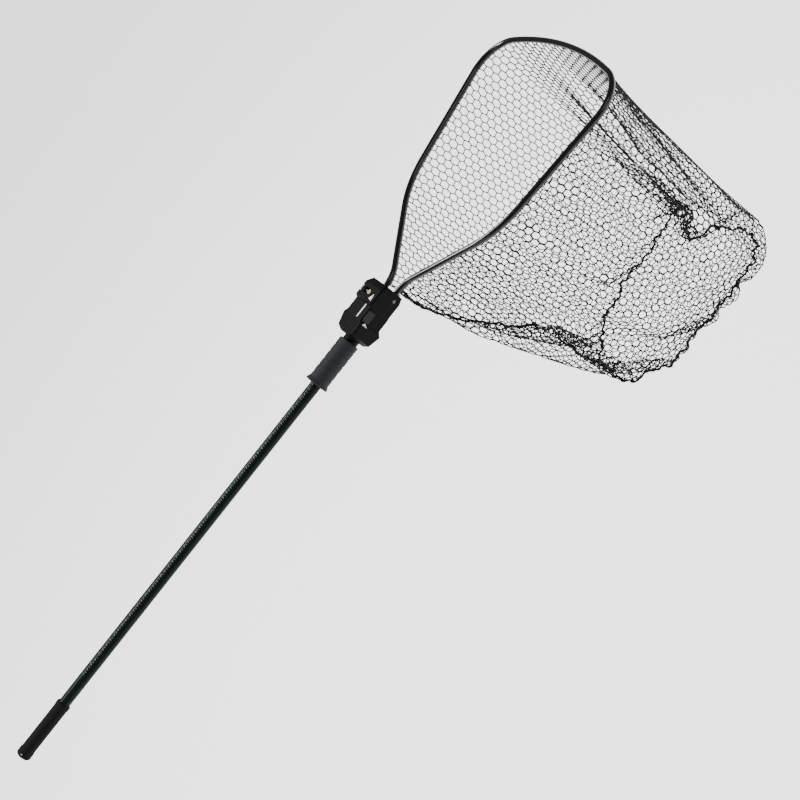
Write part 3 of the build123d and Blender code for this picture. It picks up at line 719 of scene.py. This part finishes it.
# %% [markdown]
# Cloth simulation treats a net as a sheet. Here the strands themselves are simulated instead,
# with position-based dynamics: every knot falls a little, then each strand pulls its two ends
# back towards its own length, over and over. Links are sorted into groups that share no knot,
# so a whole group is solved in one numpy step. Weaker links between second neighbours keep the
# cells open, as the stiff coated twine does. The rim, the seam and the foot loop stay still.

# %% let the net hang
def second_neighbours(count, links):
    """Pairs of knots that share a neighbour."""
    near = [[] for _ in range(count)]
    for a, b in links:
        near[a].append(b)
        near[b].append(a)
    pairs = {tuple(sorted((n[i], n[k]))) for n in near for i in range(len(n)) for k in range(i)}
    return np.array(sorted(pairs))


def groups_of(links, count):
    """Splits links into groups in which no knot appears twice."""
    used = [0] * count
    groups = {}
    for number, (a, b) in enumerate(links.tolist()):
        free = ~(used[a] | used[b])
        bit = free & -free
        used[a] |= bit
        used[b] |= bit
        groups.setdefault(bit, []).append(number)
    return [np.array(group) for group in groups.values()]


def hang(knots, held, link_sets, steps, gravity, drag=0.03, tick=0.004):
    """Lets the free knots fall and settle. Each link set is pairs, lengths and stiffness."""
    place = knots.copy()
    speed = np.zeros_like(place)
    free = 1.0 - held
    work = []
    for links, lengths, grip in link_sets:
        for group in groups_of(links, len(place)):
            a, b = links[group].T
            total = free[a] + free[b]
            moving = total > 0
            a, b, total, rest = a[moving], b[moving], total[moving], lengths[group][moving]
            work.append((a, b, (free[a] / total * grip)[:, None], (free[b] / total * grip)[:, None], rest))
    fall = np.array([0, 0, gravity * tick * tick])
    for _ in range(steps):
        before = place.copy()
        place = place + (speed * tick + fall) * free[:, None]
        for a, b, pull_a, pull_b, rest in work:
            gap = place[b] - place[a]
            length = np.sqrt((gap * gap).sum(axis=1)) + 1e-9
            gap *= ((length - rest) / length)[:, None]
            place[a] += pull_a * gap
            place[b] -= pull_b * gap
        speed = (place - before) / tick * (1 - drag)
    return place


wall_second = second_neighbours(len(wall_knots), wall_strands)
spans = gaps(wall_knots, wall_second)
steep_from, across_cell = 14.5 * MM, 18.2 * MM
down_it = np.abs(wall_knots[wall_second[:, 0], 2] - wall_knots[wall_second[:, 1], 2]) > steep_from
second_lengths = np.where(down_it, 2 * step_down, across_cell)
anchored = (wall_held[wall_second[:, 0]] + wall_held[wall_second[:, 1]]) > 0
second_lengths[anchored] = np.minimum(spans, second_lengths)[anchored]
wall_links = [(wall_strands, wall_lengths, 1.0), (wall_second, second_lengths, 0.10)]
wall_knots = hang(wall_knots, wall_held, wall_links, 500, -0.6)
growth = gaps(wall_knots, wall_strands) / wall_lengths
print("strands grew by", round(growth.mean() * 100 - 100, 2), "percent")

base_held = np.zeros(len(base_knots))
base_held[base_laced] = 1
base_second = second_neighbours(len(base_knots), base_strands)
base_slack = 1.006
base_links = [
    (links, gaps(base_knots, links) * base_slack, grip)
    for links, grip in ((base_strands, 1.0), (base_second, 0.1))
]
base_knots = hang(base_knots, base_held, base_links, 250, -0.3)
print("lowest knot", round(min(wall_knots[:, 2].min(), base_knots[:, 2].min()), 4))


# %% [markdown]
# Strands become round twine with Geometry Nodes. One tree does all the cordage: Mesh to Curve
# turns edges into curves, and Curve to Mesh sweeps a ring along them. The ring can have three
# lobes, and Set Curve Tilt turns it steadily, so a thick cord shows its twisted strands. The
# attribute "thick" makes the twine swell at its knots. "along" and "around" are kept for the
# materials.

# %% a tree for twine and cord
def new_tree(name, inputs):
    """A Geometry Nodes tree with geometry in and out, and named inputs."""
    tree = bpy.data.node_groups.new(name, "GeometryNodeTree")
    tree.interface.new_socket("Geometry", in_out="INPUT", socket_type="NodeSocketGeometry")
    for label, kind, value in inputs:
        socket = tree.interface.new_socket(label, in_out="INPUT", socket_type="NodeSocket" + kind)
        if value is not None:
            socket.default_value = value
    tree.interface.new_socket("Geometry", in_out="OUTPUT", socket_type="NodeSocketGeometry")
    return tree, tree.nodes.new("NodeGroupInput"), tree.nodes.new("NodeGroupOutput")


def keep_attribute(tree, geometry, name, value):
    """Stores a float on the points of a geometry."""
    given = {"Name": name, "Geometry": geometry, "Value": value}
    kept = add_node(tree, "GeometryNodeStoreNamedAttribute", given, data_type="FLOAT", domain="POINT")
    return kept.outputs["Geometry"]


def finish_tree(tree, given, result, geometry, smooth_faces=True):
    """Every tree ends alike: shade, realise the instances and set the material."""
    shade = add_node(tree, "GeometryNodeSetShadeSmooth", {"Geometry": geometry, "Shade Smooth": smooth_faces})
    real = add_node(tree, "GeometryNodeRealizeInstances", {"Geometry": shade.outputs["Geometry"]})
    look = {"Geometry": real.outputs["Geometry"], "Material": given.outputs["Material"]}
    paint = add_node(tree, "GeometryNodeSetMaterial", look)
    tree.links.new(paint.outputs["Geometry"], result.inputs["Geometry"])


def make_cord_tree():
    """Sweeps a plain or lobed ring along every line of edges."""
    tree, given, result = new_tree("cordage", [
        ("Radius", "Float", 0.001), ("Sides", "Int", 6), ("Lobes", "Float", 0.0),
        ("Twist", "Float", 0.0), ("Material", "Material", None),
    ])
    lines = add_node(tree, "GeometryNodeMeshToCurve", {"Mesh": given.outputs["Geometry"]})
    spline = add_node(tree, "GeometryNodeSplineParameter")
    length, factor = spline.outputs["Length"], spline.outputs["Factor"]
    measured = keep_attribute(tree, lines.outputs["Curve"], "along", length)
    turned = {"Curve": measured, "Tilt": math_node(tree, "MULTIPLY", length, given.outputs["Twist"])}
    tilt = add_node(tree, "GeometryNodeSetCurveTilt", turned)
    size = {"Radius": 1.0, "Resolution": given.outputs["Sides"]}
    ring = add_node(tree, "GeometryNodeCurvePrimitiveCircle", size)
    turn = math_node(tree, "MULTIPLY", factor, 2 * pi)
    wave = math_node(tree, "COSINE", math_node(tree, "MULTIPLY", turn, 3.0))
    swell = math_node(tree, "ADD", math_node(tree, "MULTIPLY", wave, given.outputs["Lobes"]), 1.0)
    position = add_node(tree, "GeometryNodeInputPosition").outputs["Position"]
    lobed = add_node(tree, "ShaderNodeVectorMath", operation="SCALE")
    tree.links.new(position, lobed.inputs[0])
    tree.links.new(swell, lobed.inputs["Scale"])
    marked = keep_attribute(tree, ring.outputs["Curve"], "around", factor)
    outline = {"Geometry": marked, "Position": lobed.outputs["Vector"]}
    shaped = add_node(tree, "GeometryNodeSetPosition", outline)
    thick = add_node(tree, "GeometryNodeInputNamedAttribute", {"Name": "thick"}, data_type="FLOAT")
    sweep = add_node(tree, "GeometryNodeCurveToMesh", {
        "Fill Caps": True, "Curve": tilt.outputs["Curve"], "Profile Curve": shaped.outputs["Geometry"],
        "Scale": math_node(tree, "MULTIPLY", thick.outputs["Attribute"], given.outputs["Radius"]),
    })
    finish_tree(tree, given, result, sweep.outputs["Mesh"])
    return tree


cordage = make_cord_tree()
print("tree", cordage.name, "with", len(cordage.nodes), "nodes")


# %% [markdown]
# A tree needs edges to work on. The next functions turn lists of points into a mesh that is
# nothing but edges, run a tree on it, and keep only the finished mesh. The modifier's values
# are set by each input's identifier, since its visible name can't be used from Python.

# %% from lines to finished meshes
def line_object(name, lines, thicks):
    """An object of loose edges, one chain for each line, with a thickness at every point."""
    starts = np.cumsum([0] + [len(line) for line in lines])
    edges = [(k, k + 1) for a, b in zip(starts, starts[1:]) for k in range(a, b - 1)]
    made = mesh_object(name, np.concatenate(lines).tolist(), edges, [])
    thick = made.data.attributes.new("thick", "FLOAT", "POINT")
    thick.data.foreach_set("value", np.concatenate(thicks))
    return made


def frozen(thing):
    """The mesh of an object as it now stands, with its text or modifiers worked out."""
    bpy.context.view_layer.update()
    return bpy.data.meshes.new_from_object(thing.evaluated_get(bpy.context.evaluated_depsgraph_get()))


def run_tree(made, tree, **values):
    """Runs a tree on an object and keeps the result as its plain mesh."""
    modifier = made.modifiers.new("nodes", "NODES")
    modifier.node_group = tree
    for item in tree.interface.items_tree:
        label = item.name.lower().replace(" ", "_")
        if item.in_out == "INPUT" and label in values:
            modifier[item.identifier] = values[label]
    mesh = frozen(made)
    made.modifiers.remove(modifier)
    before = made.data
    made.data = mesh
    mesh.name = made.name
    bpy.data.meshes.remove(before)
    return made


def joined(parts, name):
    """Several mesh objects made one, so that a piece is a single mesh."""
    with bpy.context.temp_override(active_object=parts[0], selected_editable_objects=parts):
        bpy.ops.object.join()
    parts[0].name = parts[0].data.name = name
    return parts[0]


def swollen(ends, part=0.2, waist=0.95, knot=1.2):
    """Points along a chain of knots, with the twine thicker at each knot than between them."""
    line, thick = [], []
    for a, b in zip(ends, ends[1:]):
        line += [a, a + (b - a) * part, b + (a - b) * part]
        thick += [knot, waist, waist]
    return np.array(line + [ends[-1]]), np.array(thick + [knot])


# %% [markdown]
# The twine is knitted polyester dipped in black rubber, so it is a little glossy, and grainy
# where the coating is thin. The heavier cords are braided and dipped in the same way. The twist
# group draws their slanting ridges.

# %% finishes of twine and cord
def coated(name, colour, dusty, rough, pitch, strands, ridge):
    """A rubber coating over twisted strands."""
    made = finish_for(name, colour, dusty, rough, 1500.0, 0.00004, patch=70.0, shine=0.08)
    tree = made.node_tree
    grainy = tree.nodes["Principled BSDF"].inputs["Normal"].links[0].from_node
    turning = add_node(tree, "ShaderNodeGroup", {"Pitch": pitch, "Strands": strands}, node_tree=twist)
    height = {"Strength": 0.8, "Distance": ridge, "Height": turning.outputs["Height"]}
    ridges = add_node(tree, "ShaderNodeBump", height)
    tree.links.new(ridges.outputs["Normal"], grainy.inputs["Normal"])
    return made


soot = (0.0012, 0.0012, 0.0012)
black_twine = coated("black_twine", soot, (0.003, 0.003, 0.003), 0.5, 0.005, 2.0, 0.0002)
black_cord = coated("black_cord", soot, (0.0035, 0.0035, 0.0035), 0.6, 0.003, 6.0, 0.0002)
print("finishes", black_twine.name, black_cord.name)


# %% [markdown]
# Each chain of the wall is one long piece of twine, and each bar is a short one between two
# chains. The wall is kept as two meshes, the half on one side of the tip and the half on the
# other, and the base is a third.

# %% the mesh of the bag
twine_r = 1.25 * MM


def twine_piece(name, knots, chains, replaced):
    """One part of the bag's mesh as a finished piece on the head."""
    swelling = [swollen(knots[chain]) for chain in chains]
    piece = line_object(name, [line for line, _ in swelling], [thick for _, thick in swelling])
    run_tree(piece, cordage, radius=twine_r, sides=5, material=black_twine)
    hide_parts(replaced)
    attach(piece, "head")
    piece.data.calc_loop_triangles()
    print(name, len(piece.data.loop_triangles), "triangles")


half = columns // 2
column_of = np.concatenate([np.full(len(chain), c) for c, chain in enumerate(wall_chains)])
knot_column = np.zeros(len(wall_knots))
knot_column[np.concatenate(wall_chains)] = column_of
near_bars = [bar for bar in wall_bars if knot_column[bar[0]] < half]
far_bars = [bar for bar in wall_bars if knot_column[bar[0]] >= half]
twine_piece("mesh_wall_near", wall_knots, wall_chains[:half] + near_bars, "net_wall")
twine_piece("mesh_wall_far", wall_knots, wall_chains[half:] + far_bars, "net_wall")
twine_piece("mesh_base", base_knots, list(base_strands), "net_base")


# %% [markdown]
# The cords are swept with three lobes and a steady turn. The rim cord runs under the hoop, the
# throat cord closes it below the handle, one heavy cord laces the base to the wall, and another
# closes the seam. Where the seam meets the throat the cord is tied in a small overhand knot.

# %% the cords
def cord_piece(name, line, radius, replaced, turns_each=0.011, lobes=0.14, sides=12):
    """A twisted cord along a line."""
    piece = line_object(name, [line], [np.ones(len(line))])
    run_tree(
        piece, cordage, radius=radius / (1 + lobes), sides=sides, lobes=lobes, twist=2 * pi / turns_each,
        material=black_cord,
    )
    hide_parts(replaced)
    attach(piece, "head")
    print(name, "follows", round(lengths_along(line)[-1], 3), "m")


def evenly(line, spacing):
    """The same line with evenly spaced points."""
    length = lengths_along(line)[-1]
    return at_shares(line, np.linspace(0, 1, int(length / spacing) + 1))


dip = [0, 0, -1 * MM]
throat_line = smooth([rim_u[0], throat_near + dip, throat_mid, throat_far + dip, rim_u[-1]], False, 60)
cord_piece("rim_twist", evenly(rim_u, 1.6 * MM), cord_r, "rim_cord")
cord_piece("throat_twist", throat_line, cord_r, "throat_cord")
foot_again = np.vstack([foot_closed, foot_closed[1:9] + [0, 0, 1.5 * MM]])
cord_piece("foot_lacing", evenly(foot_again, 1.5 * MM), lacing_r * 1.35, "base_lacing")
cord_piece("seam_lacing", evenly(seam, 1.5 * MM), lacing_r * 1.35, "side_lacing")

loop = np.linspace(0.35, 2 * pi - 0.35, 90)
trefoil_x, trefoil_z = np.sin(loop) + 2 * np.sin(2 * loop), np.cos(loop) - 2 * np.cos(2 * loop)
overhand = np.stack([trefoil_x, -np.sin(3 * loop), trefoil_z], axis=1)
first_tail = overhand[:1] + [[-0.5, -1.0, -5.0], [0.1, -0.5, -2.2]]
last_tail = overhand[-1:] + [[-0.1, 0.6, -2.0], [0.9, 0.9, -5.4]]
knot_size = (knot_high - knot_low).length / sqrt(3) / 2
tied = np.array(knot_centre) + np.vstack([first_tail, overhand, last_tail]) * knot_size / 4.2
cord_piece("throat_knot", smooth(tied, False, 160), knot_size * 0.30, "rim_knot", turns_each=0.006)


# %% [markdown]
# Along both lacings the cord is hitched to the mesh every sixteen millimetres. One hitch is a
# small ring with two stub ends. It is modelled once and placed by a second tree: Curve to
# Points gives the places and their directions, and a seeded random turn and size keep the
# hitches from looking stamped.

# %% hitches on the lacings
def make_hitch_tree():
    """Places a hitch at even distances along every line, turned and sized at random."""
    tree, given, result = new_tree("hitches", [
        ("Spacing", "Float", 0.016), ("Hitch", "Object", None), ("Seed", "Int", 3),
        ("Material", "Material", None),
    ])
    lines = add_node(tree, "GeometryNodeMeshToCurve", {"Mesh": given.outputs["Geometry"]})
    steps = {"Curve": lines.outputs["Curve"], "Length": given.outputs["Spacing"]}
    places = add_node(tree, "GeometryNodeCurveToPoints", steps, mode="LENGTH")
    hitch = add_node(tree, "GeometryNodeObjectInfo", {"Object": given.outputs["Hitch"]})
    chosen = []
    for kind, low, high in (("FLOAT_VECTOR", (-0.2, -0.2, 0.0), (0.2, 0.2, 2 * pi)), ("FLOAT", 0.85, 1.25)):
        chooser = add_node(tree, "FunctionNodeRandomValue", {"Seed": given.outputs["Seed"]}, data_type=kind)
        for label, value in (("Min", low), ("Max", high)):
            next(i for i in chooser.inputs if i.name == label and i.enabled).default_value = value
        chosen.append(next(o for o in chooser.outputs if o.enabled))
    spin, size = chosen
    turning = {"Rotation": places.outputs["Rotation"], "Rotate By": spin}
    turned = add_node(tree, "FunctionNodeRotateRotation", turning, rotation_space="LOCAL")
    stand = add_node(tree, "GeometryNodeInstanceOnPoints", {
        "Points": places.outputs["Points"], "Instance": hitch.outputs["Geometry"],
        "Rotation": turned.outputs["Rotation"], "Scale": size,
    })
    finish_tree(tree, given, result, stand.outputs["Instances"])
    return tree


ring_turn = np.linspace(0, 2 * pi, 11)[:-1]
ring = np.stack([np.cos(ring_turn), np.sin(ring_turn), 0.25 * np.sin(ring_turn)], axis=1) * lacing_r * 1.35
ring = np.vstack([ring, ring[:1]])
stub = np.array([[1.0, 0.1, 0.0], [1.7, 0.5, 0.4], [2.5, 0.7, 1.0]]) * lacing_r
other_stub = np.array([[1.0, -0.1, 0.1], [1.8, -0.5, -0.3], [2.3, -1.1, -0.7]]) * lacing_r
hitch = line_object("hitch", [ring, stub, other_stub], [np.ones(11), np.ones(3), np.ones(3)])
run_tree(hitch, cordage, radius=0.75 * MM, sides=5, material=black_cord)
hitches = line_object("hitches", [foot_closed, seam], [np.ones(len(foot_closed)), np.ones(len(seam))])
run_tree(hitches, make_hitch_tree(), hitch=hitch, material=black_cord)
bpy.data.objects.remove(hitch)
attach(hitches, "head")
print("hitches", len(hitches.data.polygons), "faces")


# %% [markdown]
# The handle carries a printed ruler: a slanted line every half inch, a short one at each
# quarter, and a number at each inch. The prints are thin shapes wrapped round the tube. The
# tree repeats each line along the tube, and the numbers are text bent round it the same way.
# Places round the tube are in degrees from the top, towards the near side.

# %% the ruler on the handle
inch = 25.4 * MM
print_lift = 0.03 * MM
ruler_start, ruler_middle, ruler_half = -340 * MM, 23.0, 14.0


def wrapped(x, degrees, lift):
    """A place on the tube: along it, round it from the top towards the near side, and out."""
    angle = np.radians(degrees)
    return [x, -(tube_r + lift) * sin(angle), (tube_r + lift) * cos(angle)]


def printed_line(name, x0, x1, angle0, angle1, width):
    """A slanted printed line: a thin curved box wrapped on the tube."""
    verts, faces, steps = [], [], 6
    for k in range(steps + 1):
        share = k / steps
        x, angle = x0 + (x1 - x0) * share, angle0 + (angle1 - angle0) * share
        for dx, lift in ((-0.5, -0.02), (0.5, -0.02), (0.5, 1), (-0.5, 1)):
            verts.append(wrapped(x + dx * width, angle, lift * print_lift))
    for k in range(steps):
        for i in range(4):
            a, b = 4 * k + i, 4 * k + (i + 1) % 4
            faces.append((a, b, b + 4, a + 4))
    faces += [(3, 2, 1, 0), tuple(4 * steps + i for i in range(4))]
    return mesh_object(name, verts, [], faces)


def make_row_tree():
    """Repeats an object at even steps along X."""
    tree, given, result = new_tree("row", [
        ("Mark", "Object", None), ("First", "Float", 0.0), ("Step", "Float", 0.01), ("Count", "Int", 10),
        ("Material", "Material", None),
    ])
    mark = add_node(tree, "GeometryNodeObjectInfo", {"Object": given.outputs["Mark"]})
    row = add_node(tree, "GeometryNodeMeshLine", {
        "Count": given.outputs["Count"],
        "Start Location": add_node(tree, "ShaderNodeCombineXYZ", {"X": given.outputs["First"]}).outputs[0],
        "Offset": add_node(tree, "ShaderNodeCombineXYZ", {"X": given.outputs["Step"]}).outputs[0],
    })
    marks = {"Points": row.outputs["Mesh"], "Instance": mark.outputs["Geometry"]}
    stand = add_node(tree, "GeometryNodeInstanceOnPoints", marks)
    finish_tree(tree, given, result, stand.outputs["Instances"], smooth_faces=False)
    return tree


row_tree = make_row_tree()
tube_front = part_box("handle_tube")[1].x
bare_front = tube_front - 60 * MM
inches = int((bare_front - ruler_start) / inch)
low_edge, high_edge = ruler_middle + ruler_half, ruler_middle - ruler_half
tick_span = 9.0
ruler_parts = []
for label, first, shape in (
    ("half", 0.0, (0.0, 1.3 * MM, low_edge, high_edge + tick_span, 0.75 * MM)),
    ("quarter", inch / 4, (0.0, 0.3 * MM, low_edge, low_edge - tick_span, 0.7 * MM)),
):
    mark = printed_line("mark_" + label, *shape)
    row = line_object("row_" + label, [np.zeros((2, 3))], [np.ones(2)])
    places = {"first": ruler_start + first, "step": inch / 2, "count": 2 * inches}
    run_tree(row, row_tree, mark=mark, material=ruler_ink, **places)
    bpy.data.objects.remove(mark)
    ruler_parts.append(row)

for number in range(1, inches + 1):
    text = bpy.data.curves.new("number", "FONT")
    text.body = str(number)
    text.size = 3.0 * MM
    text.resolution_u = 1
    text.align_x = "CENTER"
    holder = bpy.data.objects.new("number", text)
    bpy.context.collection.objects.link(holder)
    flat = frozen(holder)
    bpy.data.objects.remove(holder)
    for vertex in flat.vertices:
        x = ruler_start + number * inch + 3.2 * MM + vertex.co.x
        vertex.co = wrapped(x, high_edge + 8.5 - np.degrees(vertex.co.y / tube_r), print_lift)
    flat.materials.clear()
    flat.materials.append(ruler_ink)
    made = bpy.data.objects.new("number", flat)
    bpy.context.collection.objects.link(made)
    ruler_parts.append(made)
ruler = joined(ruler_parts, "ruler_print")
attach(ruler, "handle")
print("ruler", inches, "inches,", len(ruler.data.polygons), "faces")


# %% [markdown]
# Three plain marks are printed on the yoke: a bar near the waist, and two triangles that point
# out the button. They are thin plates that stand a few tenths of a millimetre proud.

# %% the marks on the yoke
def plate(name, corners, thick):
    """A thin flat plate on the given corners, named anticlockwise as seen from outside."""
    base = np.array(corners, float)
    lift = unit(np.cross(base[1] - base[0], base[2] - base[0])) * thick
    count = len(base)
    faces = [tuple(range(count - 1, -1, -1)), tuple(range(count, 2 * count))]
    faces += [(k, (k + 1) % count, (k + 1) % count + count, k + count) for k in range(count)]
    made = mesh_object(name, np.vstack([base - lift * 0.4, base + lift]).tolist(), [], faces)
    made.data.materials.append(mark_white)
    return made


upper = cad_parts["yoke_upper"]


def on_yoke(distance, across, roof=True):
    """A place on the yoke's roof or near side, in millimetres ahead of its rear face and across."""
    x, far = x_yoke + distance * MM, 100 * MM
    start, aim = ((x, across * MM, far), (0, 0, -1)) if roof else ((x, -far, across * MM), (0, 1, 0))
    return upper.ray_cast(Vector(start), Vector(aim))[1]


bar_corners = [on_yoke(*spot) for spot in ((41, -17.4), (72, -17.4), (72, -13.4), (41, -13.4))]
arrow_corners = [on_yoke(*spot) for spot in ((82, -29), (97, -26), (84, -17))]
side_corners = [on_yoke(*spot, roof=False) for spot in ((33.6, 14), (39.6, 22), (33.6, 28))]
bar = plate("mark_bar", bar_corners, 0.2 * MM)
arrow = plate("mark_arrow", arrow_corners, 0.35 * MM)
small_arrow = plate("mark_small_arrow", side_corners, 0.45 * MM)
marks = joined([bar, arrow, small_arrow], "yoke_print")
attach(marks, "head")
print("yoke marks", len(marks.data.polygons), "faces")


# %% finish
final_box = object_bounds()
for name, (low, high) in (("CAD", cad_box), ("finished", final_box)):
    print(name, [round(v, 4) for v in (*low, *high)])
